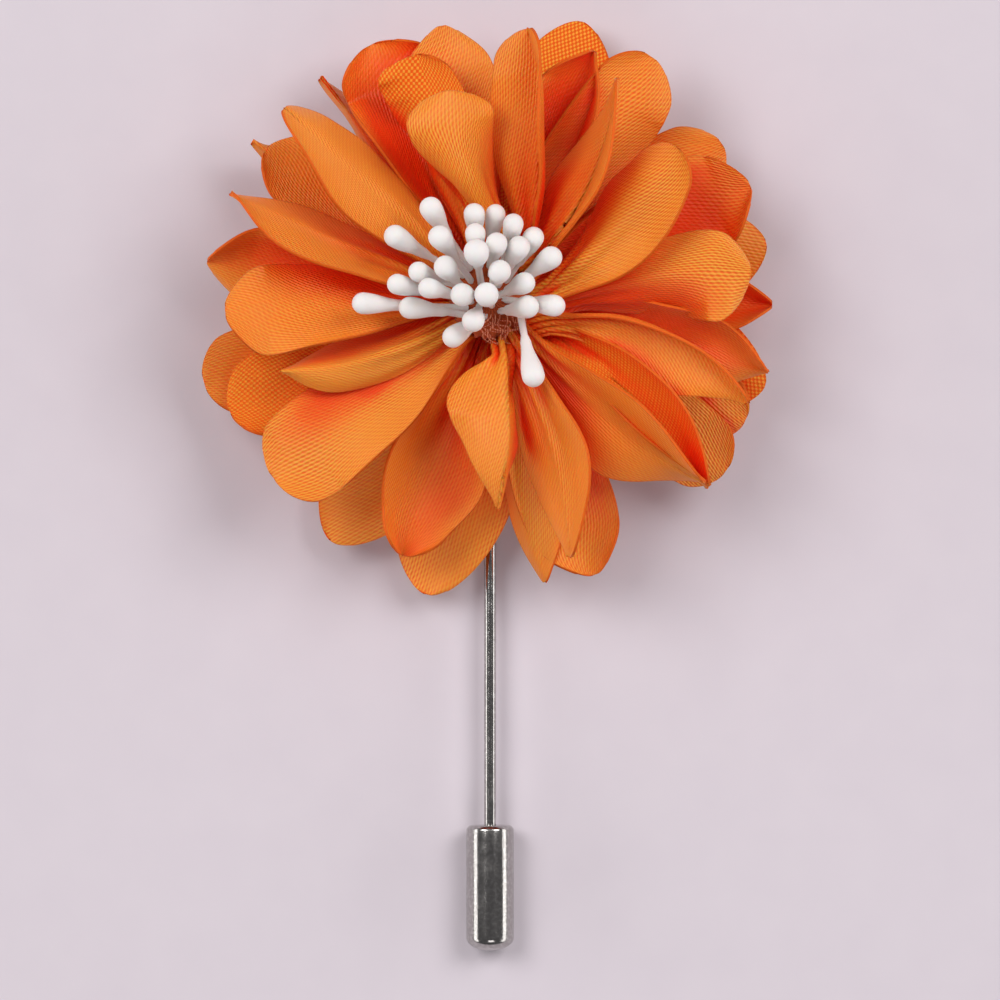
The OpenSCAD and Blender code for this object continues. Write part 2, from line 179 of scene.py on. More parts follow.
# ---- how the satin stands off that shape: ranges for each petal, in the order of the draws ----
RELIEF = {
    "gather": (0.2, 0.34), "gathers": (3.0, 4.6), "phase": (0, 2 * np.pi), "pinch": (0.05, 0.25),
    "wave_cw": (0.08, 0.3), "wave_ccw": (0.08, 0.3), "waves": (1.0, 1.8), "wave_phase": (0, 1),
    "billow": (0.1, 0.34), "billow_phase": (-0.5, 0.5),
    "buckle": (0.07, 0.17), "buckle_phase": (0, 1),
}
# the share of the length where gathers fade out, and how many buckles lie along a petal
GATHER_END = 0.62
BUCKLES = 1.7
# how far the weave may turn from blank to blank
WEAVE_TURN = 14.0
# rows along a petal, which lie closer towards the tip, and columns across it, closer at the rims
ROWS, COLS = 60, 41
ROW_POWER = 1.5
COL_ANGLE = 1.5
LAST_SHARE = 0.998
# how far a foot reaches into the core, and the share where the tip's own normals begin
FOOT_DEPTH = 0.5
TIP_FROM = 0.97

# ---- light between the petals ----
# how many looks are taken from a place, how far they go, and how far off the cloth they start
LOOKS = 26
FOLD_REACH = 9.0
CLEAR_OF_CLOTH = 0.45
# the farther off the cloth that a look meets, the more light it leaves, by this power
NEAR_POWER = 1.5
GOLDEN_ANGLE = 2.399963
# every so many rows and columns of a petal shade the others, and have looks taken from them
SHADE_ROWS, SHADE_COLS = 3, 4
LOOK_ROWS, LOOK_COLS = 4, 5
# how much the gathers' own valleys and folds add to that
GATHER_LIGHT = 0.14
# extra shade in a petal's own hollow: how deep, 0 to 1, or below 0 to lighten it, and on which
# side of the keel, -1 cw, 1 ccw, 0 both
HOLLOW = {
    "petal_top_04": (-0.3, 0), "petal_top_05": (0.35, -1), "petal_top_06": (-0.3, 0),
    "petal_top_07": (-0.7, 0), "petal_top_09": (-0.2, 0), "petal_top_11": (0.4, -1),
    "petal_top_13": (0.12, -1), "petal_middle_02": (0.36, 0), "petal_middle_04": (0.8, 0),
    "petal_middle_05": (0.45, 0), "petal_middle_06": (0.3, 1), "petal_middle_07": (0.15, 0),
    "petal_middle_08": (0.36, 1), "petal_middle_10": (0.45, -1), "petal_lower_01": (0.62, 0),
    "petal_lower_05": (0.5, 0),
}

# ---- stamens and core ----
CORE_R = 3.6
CORE_Z = 3.1
CORE_TOP_Z = 13.4
# a stamen is a stalk, ROOT_R thick at its foot, and a bulb, STALK_R thick where it starts
BULB_LEN = 3.8
STALK_R = 0.5
ROOT_R = 0.32
# how far its foot reaches into the core, and how far the stalk may bow
ROOT_DEPTH = 0.9
MOST_SAG = 0.12
PIP_SEGMENTS = 24
# where the tuft leaves the core, measured from the flower's centre
TUFT = (-0.7, 0.9, 13.7)
# count, radius and direction of the first foot of each ring of feet
FOOT_RINGS = [(3, 0.65, -20), (9, 1.65, -20), (15, 2.75, 2)]
# middle of each bulb from the flower's centre, and the bulb's diameter
STAMENS = [
    (0.9, 2.3, 21.8, 2), (-1.2, 4, 22.9, 2.3), (-2.5, 0.2, 21, 2.1), (3.1, 1.3, 19.2, 2),
    (2.6, 4.5, 20, 2), (0.6, 4.8, 21.2, 2), (-1.3, 5.7, 20.9, 1.9), (-4.5, 5.4, 20.6, 2),
    (-4, 2.7, 20.8, 2), (-5.5, 0.8, 21, 1.9), (-1.5, -2.1, 19.2, 2), (-0.3, 0.2, 21.8, 2.1),
    (5.5, 3.6, 18.8, 2), (3.9, 5.4, 18.4, 2), (2.1, 6.6, 19.5, 1.9), (0.5, 7.5, 18.1, 1.9),
    (-1.4, 7.5, 19.6, 1.9), (-5.3, 8, 19.8, 2), (-8.5, 5.5, 19.3, 2), (-6.4, 2.3, 19.4, 1.9),
    (-8.3, 1.2, 18.9, 1.9), (-11.4, -0.5, 18.4, 2), (-7.2, -0.9, 18, 2), (-3.3, -3.5, 17, 2),
    (3.9, -7, 18, 2.1), (3.4, -0.8, 18, 2), (5.8, -0.7, 17.6, 2),
]
# the stamen that has slipped out over a petal, counted from 0, and where it leaves the core
STRAY = 24
STRAY_FOOT = (2.7, -1.0, 13.6)

# the thread around the core: its waist's height, the turns, their pitch and the thread's radius
WAIST_Z = 7.2
THREAD_TURNS = 9
THREAD_PITCH = 0.18
THREAD_R = 0.11
LOOSE_ENDS = 16
# pleats around the core, which narrows by WAIST_IN
CORE_PLEATS = 27
WAIST_IN = 0.25
PLEAT_DEPTH = 0.16
# the side takes this share of the core's rings and the dome the rest
SIDE_SHARE, DOME_SHARE = 0.7, 0.3
CORE_DOME_H = 1.0

# ---- needle and cap, measured from the flower's centre towards the needle's point ----
NEEDLE_R = 0.55
NEEDLE_REACH = 57.0
# the needle narrows over POINT_LEN to TIP_R, at first a little more slowly than a cone
POINT_LEN = 8.9
TIP_R = 0.05
POINT_POWER = 1.15
PAD_R = 3.8
PAD_T = 1.0
PAD_GAP = 0.1
# the root runs this far across the back of the pad
NEEDLE_ROOT = 2.6
SOLDER_R = 0.8
CAP_R = 2.18
CAP_LEN = 11.5
CAP_MOUTH = 48.0
BORE_R = 0.6
BORE_DEPTH = 9.5
DOME_H = 1.2
MOUTH_CHAMFER = 0.3
# how far the corners of the pad, the solder and the cap are rounded
PAD_ROUND, SOLDER_ROUND, CAP_ROUND = 0.18, 0.22, 0.14
# turned profiles end this close to their axis
AXIS_R = 0.01
CAP_SEGMENTS = 96
NEEDLE_SEGMENTS = 40

rng = np.random.default_rng(11)


# ======== meshes ========

def add_mesh(name, points, faces, materials, face_materials=None, uvs=None, smooth=True):
    """A mesh object from points in millimetres; uvs is {layer name: one pair a point}."""
    mesh = bpy.data.meshes.new(name)
    mesh.from_pydata((np.asarray(points) * MM).tolist(), [], [list(map(int, f)) for f in faces])
    for m in materials:
        mesh.materials.append(m)
    if face_materials is not None:
        mesh.polygons.foreach_set("material_index", np.asarray(face_materials, dtype=np.int32))
    mesh.polygons.foreach_set("use_smooth", [smooth] * len(mesh.polygons))
    corner = np.empty(len(mesh.loops), dtype=np.int32)
    mesh.loops.foreach_get("vertex_index", corner)
    for layer_name, pairs in (uvs or {}).items():
        layer = mesh.uv_layers.new(name=layer_name)
        layer.data.foreach_set("uv", np.asarray(pairs, dtype=np.float32)[corner].ravel())
    mesh.update()
    obj = bpy.data.objects.new(name, mesh)
    bpy.context.scene.collection.objects.link(obj)
    return obj


def grid_faces(rows, cols, first=0, wrap=False, flip=False):
    """Quads over a grid of points that is stored row by row."""
    quads = []
    for i in range(rows - 1):
        for j in range(cols if wrap else cols - 1):
            k = (j + 1) % cols
            quad = [first + i * cols + j, first + (i + 1) * cols + j,
                    first + (i + 1) * cols + k, first + i * cols + k]
            quads.append(quad[::-1] if flip else quad)
    return quads


def lathe(profile, segments, path=None):
    """Points and faces of a profile of (radius, distance) turned about an axis or along a path."""
    points, faces = [], []
    for r, s in profile:
        centre, side, up = path(s) if path else ((0, 0, s), (1, 0, 0), (0, 1, 0))
        for k in range(segments):
            a = 2 * math.pi * k / segments
            points.append(np.array(centre) + r * math.cos(a) * np.array(side)
                          + r * math.sin(a) * np.array(up))
    return points, grid_faces(len(profile), segments, wrap=True, flip=True)


def add_shape(points, faces, made, quads):
    """Adds one shape to the points and faces of a mesh that has several."""
    faces += [[f + len(points) for f in quad] for quad in quads]
    points += list(made)


def from_centre(points):
    """Points that were given from the flower's centre, in the part's frame."""
    return np.array(points) + (FLOWER_X, FLOWER_Y, 0)


def smooth_step(x):
    """0 to 1 with soft ends"""
    x = np.clip(x, 0, 1)
    return x * x * (3 - 2 * x)


# ======== petal shape ========

def chord_share(a):
    """sin(a) / a, the chord of an arc over its length"""
    return np.where(np.abs(a) < 1e-6, 1.0, np.sin(a) / np.where(np.abs(a) < 1e-6, 1.0, a))


def blank_half_width(share):
    """Half width of the flat blank, which narrows to a rounded tip."""
    inner = BASE_SHARE + (1 - BASE_SHARE) * np.sin(
        np.pi / 2 * np.clip(share, 0, WIDEST_AT) / WIDEST_AT)
    x = np.clip((share - WIDEST_AT) / (1 - WIDEST_AT), 0, 1)
    outer = (1 - x ** TIP_POWERS[0]) ** TIP_POWERS[1]
    return BLANK_W / 2 * np.maximum(np.where(share < WIDEST_AT, inner, outer), LEAST_W)


def through(stations, values, x):
    """Smooth curve through values at the stations, flat where they turn."""
    stations, values = np.asarray(stations, float), np.asarray(values, float)
    steps = np.diff(values) / np.diff(stations)
    slopes = np.concatenate([[steps[0]], (steps[1:] + steps[:-1]) / 2, [steps[-1]]])
    k = np.clip(np.searchsorted(stations, x) - 1, 0, len(stations) - 2)
    width = stations[k + 1] - stations[k]
    t = np.clip((x - stations[k]) / width, 0, 1)
    return ((1 + 2 * t) * (1 - t) ** 2 * values[k] + t * (1 - t) ** 2 * width * slopes[k]
            + t * t * (3 - 2 * t) * values[k + 1] - t * t * (1 - t) * width * slopes[k + 1])


def keel_frame(around, lean, sweep, start, height, rise, fall, reach, share):
    """Points on a petal's keel, and the level and the upright direction across it there.
    Shares below 0 run on into the core."""
    along = reach * share
    e0, e1 = math.radians(rise), math.radians(fall)
    bend = (e1 - e0) * share
    run = along * chord_share(bend / 2) * np.cos(e0 + bend / 2)
    climb = along * chord_share(bend / 2) * np.sin(e0 + bend / 2)
    half_bend = (e1 - e0) / 2
    full_run = max(reach * float(chord_share(np.array(half_bend))) * math.cos(e0 + half_bend),
                   LEAST_RUN * reach)
    set_off, foot = math.radians(around + lean), math.radians(around)
    turn = math.radians(sweep) * run / full_run
    heading, slope = set_off + turn, e0 + bend
    advance = run * chord_share(turn / 2)
    spine = np.stack([FLOWER_X + start * math.cos(foot) + advance * np.cos(set_off + turn / 2),
                      FLOWER_Y + start * math.sin(foot) + advance * np.sin(set_off + turn / 2),
                      height + climb], -1)
    level = np.stack([-np.sin(heading), np.cos(heading), np.zeros_like(heading)], -1)
    upright = np.stack([-np.sin(slope) * np.cos(heading), -np.sin(slope) * np.sin(heading),
                        np.cos(slope)], -1)
    return spine, level, upright


def plain_surface(row, share, v):
    """Middle surface of a petal that is rolled about its keel and cupped: points, upward normals
    and how far each point is from the keel within the cloth."""
    roll_foot, roll_tip, cup_foot, cup_cw, cup_ccw, reach = row[7:]
    spine, level, upright = keel_frame(*row[:7], reach, share)
    held = np.clip(share, 0, 1)
    side_w = v * blank_half_width(share)
    roll = np.radians(roll_foot + (roll_tip - roll_foot) * held)[..., None]
    across = np.cos(roll) * level + np.sin(roll) * upright
    normal = np.cos(roll) * upright - np.sin(roll) * level
    tip_cup = np.where(side_w > 0, cup_ccw, cup_cw)
    cup = cup_foot + (tip_cup - cup_foot) * np.minimum(1, held / CURL_SHARE)
    arc = np.radians(cup) * side_w / BLANK_W
    points = (spine + (side_w * chord_share(arc))[..., None] * across
              + (side_w * chord_share(arc / 2) * np.sin(arc / 2))[..., None] * normal)
    upward = np.cos(arc)[..., None] * normal - np.sin(arc)[..., None] * across
    return points, upward, side_w


def dressed_surface(dress, share, v):
    """The same for a petal that is folded about its keel by the widths it shows."""
    stations = (0.0,) + WIDTH_SHARES
    keel, shown_cw, rest_cw, shown_ccw, rest_ccw, crease, blunt = dress
    spine, level, upright = keel_frame(*keel, share)
    left = v > 0
    held = np.clip(share, 0, 1)
    shown = np.where(left, through(stations, (FOOT_W,) + shown_ccw, held),
                     through(stations, (FOOT_W,) + shown_cw, held))
    shown = np.maximum(shown, LEAST_SHOWN)
    # the tip closes in an arc that is shorter the blunter it is
    close = TIP_CLOSE - BLUNT_SAVES * blunt
    x = np.clip((share - (1 - close)) / close, 0, 1)
    closing = np.maximum((1 - x ** 2) ** 0.5, 0.03)
    whole = blank_half_width(np.minimum(held, FULL_WIDTH_TO)) * CLOTH_SHARE
    cloth = np.maximum(shown, whole) * closing
    shown = shown * closing
    rest = np.where(left, rest_ccw, rest_cw) * np.sqrt(np.maximum(cloth ** 2 - shown ** 2, 0))
    # each side is a curve from the keel, drawn towards its bend, to the rim
    t = np.abs(v)
    bow = CREASE_BOW * crease
    out = 2 * t * (1 - t) * SIDE_BEND * shown + t * t * shown
    lift = 2 * t * (1 - t) * bow * rest + t * t * rest
    points = spine + (np.sign(v) * out)[..., None] * level + lift[..., None] * upright
    d_out = 2 * (1 - 2 * t) * SIDE_BEND * shown + 2 * t * shown
    d_lift = 2 * (1 - 2 * t) * bow * rest + 2 * t * rest
    upward = d_out[..., None] * upright - (np.sign(v) * d_lift)[..., None] * level
    upward /= np.maximum(np.linalg.norm(upward, axis=-1, keepdims=True), 1e-9)
    return points, upward, v * cloth


def gather_wave(share, v, traits):
    """The gathers that fan out from the thread, -1 in a valley to 1 on a fold."""
    return (1 - smooth_step(share / GATHER_END)) * np.sin(
        traits["gathers"] * np.pi * v + traits["phase"] + 2 * share) * (0.7 + 0.3 * np.cos(3 * v))


def cloth_relief(share, v, traits):
    """How far the satin stands off that surface: gathers at the foot that fan out, a pinched
    keel, rims that wave a little where they were sealed, and soft billows and buckles between."""
    gather = traits["gather"] * gather_wave(share, v, traits)
    pinch = traits["pinch"] * np.exp(-(v / 0.14) ** 2) * smooth_step(share / 0.2) * (
        1 - smooth_step((share - 0.3) / 0.5))
    side = np.where(v > 0, traits["wave_ccw"], traits["wave_cw"])
    wave = side * np.abs(v) ** 3 * smooth_step((share - 0.25) / 0.3) * np.sin(
        2 * np.pi * (traits["waves"] * share + traits["wave_phase"] + 0.3 * np.sign(v)))
    billow = traits["billow"] * np.sin(np.pi * np.clip(share, 0, 1)) * np.sin(
        np.pi * (v + traits["billow_phase"]))
    buckle = traits["buckle"] * smooth_step(share / 0.35) * np.sin(
        2 * np.pi * (BUCKLES * share + 0.4 * v + traits["buckle_phase"])) * (1 - v * v)
    return gather + pinch + wave + billow + buckle


def petal_surface(name, row, dress=None):
    """Middle surface of one petal as a grid, with its normals and its place in the cloth."""
    start, reach = (dress[0][3], dress[0][7]) if dress else (row[3], row[-1])
    foot_share = -max(start - CORE_R + FOOT_DEPTH, FOOT_DEPTH) / reach
    rows = 1 - (1 - np.linspace(0, 1, ROWS)) ** ROW_POWER
    cols = np.sin(np.linspace(-1, 1, COLS) * COL_ANGLE) / math.sin(COL_ANGLE)
    share, v = np.meshgrid(foot_share + (LAST_SHARE - foot_share) * rows, cols, indexing="ij")
    traits = {key: rng.uniform(low, high) for key, (low, high) in RELIEF.items()}
    if dress:
        middle, upward, side_w = dressed_surface(dress, share, v)
    else:
        middle, upward, side_w = plain_surface(row, share, v)
    middle = middle + cloth_relief(share, v, traits)[..., None] * upward
    normal = np.cross(np.gradient(middle, axis=0), np.gradient(middle, axis=1))
    length = np.linalg.norm(normal, axis=-1, keepdims=True)
    smooth_tip = (share[..., None] > TIP_FROM) | (length < 1e-4)
    normal = np.where(smooth_tip, upward, normal / np.maximum(length, 1e-9))
    normal *= np.where(np.sum(normal * upward, axis=-1, keepdims=True) < 0, -1.0, 1.0)
    return {"name": name, "middle": middle, "normal": normal, "side_w": side_w,
            "share": share, "v": v, "reach": reach, "gather": gather_wave(share, v, traits)}


def look_directions(normal):
    """Even, cosine-weighted directions around a normal."""
    side = np.cross(normal, (0.31, 0.17, 0.93))
    side /= np.linalg.norm(side)
    up = np.cross(normal, side)
    k = np.arange(LOOKS) + 0.5
    r, a = np.sqrt(k / LOOKS), k * GOLDEN_ANGLE
    return (np.outer(r * np.cos(a), side) + np.outer(r * np.sin(a), up)
            + np.outer(np.sqrt(1 - r * r), normal))


def hollow_shade(one):
    """Shade of a petal's own hollow, which fades towards its rim and tip."""
    depth, side = HOLLOW.get(one["name"], (0, 0))
    on_side = smooth_step(0.5 + 1.1 * side * one["v"]) if side else 0.8
    rim = 1 - 0.55 * smooth_step((np.abs(one["v"]) - 0.6) / 0.4)
    tip = 1 - 0.6 * smooth_step((one["share"] - 0.65) / 0.35)
    return depth * on_side * rim * tip


def openness(surfaces):
    """How open each skin of each petal is to the light, 0 deep in a fold to 1 in the open."""
    points, quads = [], []
    for one in surfaces:
        grid = one["middle"][::SHADE_ROWS, ::SHADE_COLS]
        quads += grid_faces(*grid.shape[:2], first=len(points))
        points += grid.reshape(-1, 3).tolist()
    tree = BVHTree.FromPolygons(points, quads)

    def light_at(place, normal):
        lit = 0.0
        for way in look_directions(normal):
            hit = tree.ray_cast(place, Vector(way), FOLD_REACH)[3]
            lit += 1.0 if hit is None else (hit / FOLD_REACH) ** NEAR_POWER
        return lit / LOOKS

    i, j = np.arange(0, ROWS, LOOK_ROWS), np.arange(0, COLS, LOOK_COLS)
    for one in surfaces:
        for skin, sign in (("upper", 1.0), ("under", -1.0)):
            normals = one["normal"] * sign
            places = one["middle"] + CLEAR_OF_CLOTH * normals
            found = [[light_at(Vector(places[row, col]), normals[row, col]) for col in j]
                     for row in i]
            wide = np.array([np.interp(np.arange(COLS), j, line) for line in found])
            whole = np.array([np.interp(np.arange(ROWS), i, wide[:, c]) for c in range(COLS)]).T
            one[skin] = whole * (1 - hollow_shade(one)) + GATHER_LIGHT * sign * one["gather"]


def closed_blade(middle, normal, half_t, satin_up):
    """Two skins and a rounded bead around them: points, faces, their materials and the border."""
    rows, cols = middle.shape[:2]
    count = rows * cols
    upper = (middle + half_t * normal).reshape(-1, 3)
    under = (middle - half_t * normal).reshape(-1, 3)
    border = (list(range(cols - 1))
              + [i * cols + cols - 1 for i in range(rows - 1)]
              + [count - 1 - j for j in range(cols - 1)]
              + [(rows - 1 - i) * cols for i in range(rows - 1)])
    flat_middle = middle.reshape(-1, 3)
    tangent = flat_middle[np.roll(border, -1)] - flat_middle[np.roll(border, 1)]
    outward = np.cross(tangent, normal.reshape(-1, 3)[border])
    outward /= np.maximum(np.linalg.norm(outward, axis=1, keepdims=True), 1e-9)
    bead = flat_middle[border] + outward * EDGE_T * BEAD_OUT
    faces = grid_faces(rows, cols) + grid_faces(rows, cols, first=count, flip=True)
    n_skin = len(faces) // 2
    kinds = [0 if satin_up else 1] * n_skin + [1 if satin_up else 0] * n_skin
    for k, a in enumerate(border):
        b = border[(k + 1) % len(border)]
        bead_a, bead_b = 2 * count + k, 2 * count + (k + 1) % len(border)
        faces.append([a, b, bead_b, bead_a])
        faces.append([a + count, bead_a, bead_b, b + count])
        kinds += [2, 2]
    return np.concatenate([upper, under, bead]), faces, kinds, border


def petal_mesh(one, node):
    """The thin closed blade of a petal, with its sealed edge."""
    name, share, side_w, reach = one["name"], one["share"], one["side_w"], one["reach"]
    edge_gap = (np.abs(side_w[:, -1:] * (one["v"] > 0) - side_w[:, :1] * (one["v"] <= 0))
                - np.abs(side_w))
    edge_gap = np.minimum(edge_gap, reach * (1 - share))
    half_t = (SATIN_T + (EDGE_T - SATIN_T) * np.exp(-edge_gap / EDGE_FADE))[..., None] / 2
    points, faces, kinds, border = closed_blade(one["middle"], one["normal"], half_t,
                                                name not in BACK_UP)
    # the weave turns a little from blank to blank
    turn = math.radians(rng.uniform(-WEAVE_TURN, WEAVE_TURN))
    along = share * reach
    cloth = np.stack([along * math.cos(turn) - side_w * math.sin(turn),
                      along * math.sin(turn) + side_w * math.cos(turn)], -1).reshape(-1, 2)
    rim = np.stack([edge_gap.ravel(), np.full(ROWS * COLS, rng.uniform(0, 1))], -1)
    # the fold layer carries painted shade: how open each skin is to the light
    light = {skin: np.stack([one[skin].ravel(), share.ravel()], -1) for skin in ("upper", "under")}
    layers = {"cloth": np.concatenate([cloth, cloth, cloth[border]]),
              "rim": np.concatenate([rim, rim, rim[border]]),
              "fold": np.concatenate([light["upper"], light["under"], light["upper"][border]])}
    obj = add_mesh(name + "_satin", points, faces, [SATIN, WEAVE, SEALED_EDGE], kinds, layers)
    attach(obj, "pin")
    if node:
        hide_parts(node)


def petals():
    """All the petals, shaped first and lit together, because each shades its neighbours."""
    surfaces, nodes = [], []
    for ring, count in RINGS.items():
        for i in range(count):
            node = f"petal_{ring}_{i + 1:02d}"
            surfaces.append(petal_surface(node, PLAIN.get(node), DRESS.get(node)))
            nodes.append(node)
    surfaces.append(petal_surface("fold_flap", None, FLAP))
    nodes.append(None)
    openness(surfaces)
    for one, node in zip(surfaces, nodes):
        petal_mesh(one, node)


# ======== materials ========

class Recipe:
    """A material's node tree, built in short steps. Bump distances and the depth to which light
    enters are in metres, and a noise's scale counts per metre."""

    def __init__(self, name):
        self.material = bpy.data.materials.new(name)
        self.material.use_nodes = True
        self.tree = self.material.node_tree
        self.shader = self.tree.nodes["Principled BSDF"]

    def node(self, kind, inputs=None, **settings):
        made = self.tree.nodes.new(kind)
        for key, value in settings.items():
            setattr(made, key, value)
        for key, value in (inputs or {}).items():
            self.feed(made.inputs[key], value)
        return made

    def feed(self, socket, value):
        if isinstance(value, bpy.types.NodeSocket):
            self.tree.links.new(value, socket)
        else:
            socket.default_value = value

    def math(self, operation, *values, clamp=False):
        made = self.node("ShaderNodeMath", operation=operation, use_clamp=clamp)
        for k, value in enumerate(values):
            self.feed(made.inputs[k], value)
        return made.outputs[0]

    def ramp(self, value, low, high):
        made = self.node("ShaderNodeMapRange", {"Value": value, "From Min": low, "From Max": high},
                         interpolation_type="SMOOTHSTEP")
        return made.outputs["Result"]

    def blend(self, share, first, second):
        made = self.node("ShaderNodeMix", data_type="RGBA")
        self.feed(made.inputs["Factor"], share)
        for key, value in (("A", first), ("B", second)):
            socket = [s for s in made.inputs if s.name == key and s.type == "RGBA"][0]
            self.feed(socket, value)
        return [s for s in made.outputs if s.type == "RGBA"][0]

    def noise(self, scale, detail=2.0, roughness=0.5, vector=None):
        made = self.node("ShaderNodeTexNoise", {
            "Vector": self.place() if vector is None else vector, "Scale": scale,
            "Detail": detail, "Roughness": roughness})
        return made.outputs["Fac"]

    def uv(self, layer):
        split = self.node("ShaderNodeSeparateXYZ",
                          {"Vector": self.node("ShaderNodeUVMap", uv_map=layer).outputs["UV"]})
        return split.outputs["X"], split.outputs["Y"]

    def place(self):
        return self.node("ShaderNodeTexCoord").outputs["Object"]

    def bump(self, height, strength, distance, normal=None):
        made = self.node("ShaderNodeBump", {"Height": height, "Strength": strength,
                                            "Distance": distance})
        if normal is not None:
            self.feed(made.inputs["Normal"], normal)
        return made.outputs["Normal"]

    def set(self, **values):
        for key, value in values.items():
            self.feed(self.shader.inputs[key.replace("_", " ")], value)


def rgb(r, g, b):
    return (r, g, b, 1.0)


# painted highlight on the threads' backs, painted shade between them, the dye's cast from petal to
# petal, painted red shade deep in a fold, and the dye at the sealed edge
RIDGE_HIGHLIGHT_ORANGE = rgb(1.0, 0.46, 0.052)
GROOVE_SHADE_ORANGE = rgb(0.84, 0.105, 0.004)
CAST_ORANGE = rgb(0.93, 0.19, 0.010)
FOLD_SHADE_RED = rgb(0.92, 0.044, 0.0008)
EDGE_ORANGE = rgb(0.58, 0.060, 0.005)
# openness at which a fold is painted fully red as shade, and at which it stays fully orange
FOLD_SHADE_FULL, FOLD_SHADE_NONE = 0.36, 0.93
# distances from the edge between which its darker dye fades out
EDGE_DARK, EDGE_CLEAR = 0.03, 0.22
# threads: direction in the cloth, pitch, and how far they wander as a share of the pitch
SATIN_RIBS = (74, 0.29, 0.30)
SATIN_FLOATS = (-16, 0.62, 0.30)
BACK_WARP = (62, 0.44, 0.2)
BACK_WEFT = (-28, 0.56, 0.2)
# how much painted highlight a satin thread's back has on average, and how red the painted shade in
# a fold gets
MEAN_RIDGE_LIGHT = 0.58
MOST_FOLD_SHADE = 0.92


def thread_phase(r, along, across, angle, pitch, wander):
    """Phase of threads that repeat every pitch millimetres along a direction in the cloth."""
    turned = math.radians(angle)
    place = r.math("ADD", r.math("MULTIPLY", along, math.cos(turned)),
                   r.math("MULTIPLY", across, math.sin(turned)))
    soft = r.noise(700.0)
    return r.math("MULTIPLY_ADD", place, 2 * math.pi / pitch,
                  r.math("MULTIPLY", soft, wander * 2 * math.pi))


def dye_and_painted_light(r, ridge_light_share):
    """Colour: a painted highlight on the threads' backs and painted shade between them, painted red
    shade where light would have bounced from fold to fold, a dye a little different from petal to
    petal, and darker at the sealed edge."""
    edge_gap, tint = r.uv("rim")
    open_here, _ = r.uv("fold")
    # painted highlight on the threads' backs, painted shade between them; the weave itself is real
    threads = r.blend(ridge_light_share, GROOVE_SHADE_ORANGE, RIDGE_HIGHLIGHT_ORANGE)
    clouds = r.noise(150.0, 3.0)
    cast = r.math("MULTIPLY_ADD", tint, 0.35, r.math("MULTIPLY", clouds, 0.3))
    body = r.blend(cast, threads, CAST_ORANGE)
    # painted shade: where little light reaches into a fold, the colour turns red
    fold = r.math("SUBTRACT", 1.0, r.ramp(open_here, FOLD_SHADE_FULL, FOLD_SHADE_NONE))
    body = r.blend(r.math("MULTIPLY", fold, MOST_FOLD_SHADE), body, FOLD_SHADE_RED)
    seal = r.math("SUBTRACT", 1.0, r.ramp(edge_gap, EDGE_DARK, EDGE_CLEAR))
    return r.blend(r.math("MULTIPLY", seal, 0.5), body, EDGE_ORANGE)


def glow_through(r):
    """Thin dyed cloth lets red light through, so its folds glow instead of going grey."""
    r.set(Subsurface_Weight=0.35, Subsurface_Scale=0.0012, Subsurface_Radius=(1.0, 0.10, 0.02))


def satin_material():
    """Smooth face: ribs along the petal, broken into staggered floats, with a soft sheen."""
    r = Recipe("satin_face")
    along, across = r.uv("cloth")
    ribs = thread_phase(r, along, across, *SATIN_RIBS)
    floats = thread_phase(r, along, across, *SATIN_FLOATS)
    stagger = r.math("MULTIPLY_ADD", ribs, 0.5, floats)
    relief = r.math("MULTIPLY_ADD", r.math("SINE", stagger), 0.5, r.math("SINE", ribs))
    # the weave shows more in some places than in others
    clear = r.ramp(r.noise(110.0), 0.38, 0.62)
    strength = r.math("MULTIPLY_ADD", clear, 0.45, 0.6)
    # painted highlight on the ribs' backs and painted shade between them, following the real weave
    ridge_light = r.ramp(relief, -1.4, 1.2)
    ridge_light = r.math("MULTIPLY_ADD", r.math("SUBTRACT", ridge_light, MEAN_RIDGE_LIGHT), strength, MEAN_RIDGE_LIGHT,
                   clamp=True)
    crumple = r.noise(420.0, 3.0, 0.6)
    normal = r.bump(crumple, 0.3, 0.0003)
    normal = r.bump(r.math("MULTIPLY", relief, strength), 0.7, 0.00004, normal)
    r.set(Base_Color=dye_and_painted_light(r, ridge_light), Normal=normal,
          Roughness=r.math("MULTIPLY_ADD", crumple, 0.12, 0.40), Specular_IOR_Level=0.3,
          Sheen_Weight=0.07, Sheen_Roughness=0.4, Sheen_Tint=rgb(1.0, 0.62, 0.36))
    glow_through(r)
    return r.material


def weave_material():
    """Matte back: a coarser plain weave, with a painted highlight where a thread comes up and
    painted shade between.
    """
    r = Recipe("weave_back")
    along, across = r.uv("cloth")
    warp = r.math("SINE", thread_phase(r, along, across, *BACK_WARP))
    weft = r.math("SINE", thread_phase(r, along, across, *BACK_WEFT))
    relief = r.math("MULTIPLY", warp, weft)
    # painted highlight where a thread comes up, painted shade between, following the real weave
    ridge_light = r.ramp(relief, -0.35, 0.75)
    r.set(Base_Color=dye_and_painted_light(r, ridge_light), Normal=r.bump(relief, 0.7, 0.00005), Roughness=0.7,
          Specular_IOR_Level=0.15, Sheen_Weight=0.05, Sheen_Roughness=0.5,
          Sheen_Tint=rgb(1.0, 0.5, 0.2))
    glow_through(r)
    return r.material


def sealed_edge_material():
    """Edge where the cut threads were melted together."""
    r = Recipe("sealed_edge")
    grain = r.noise(3500.0)
    colour = r.blend(grain, rgb(0.70, 0.085, 0.005), rgb(0.88, 0.17, 0.010))
    r.set(Base_Color=colour, Roughness=r.math("MULTIPLY_ADD", grain, 0.2, 0.55),
          Normal=r.bump(grain, 0.3, 0.00004), Specular_IOR_Level=0.2)
    return r.material


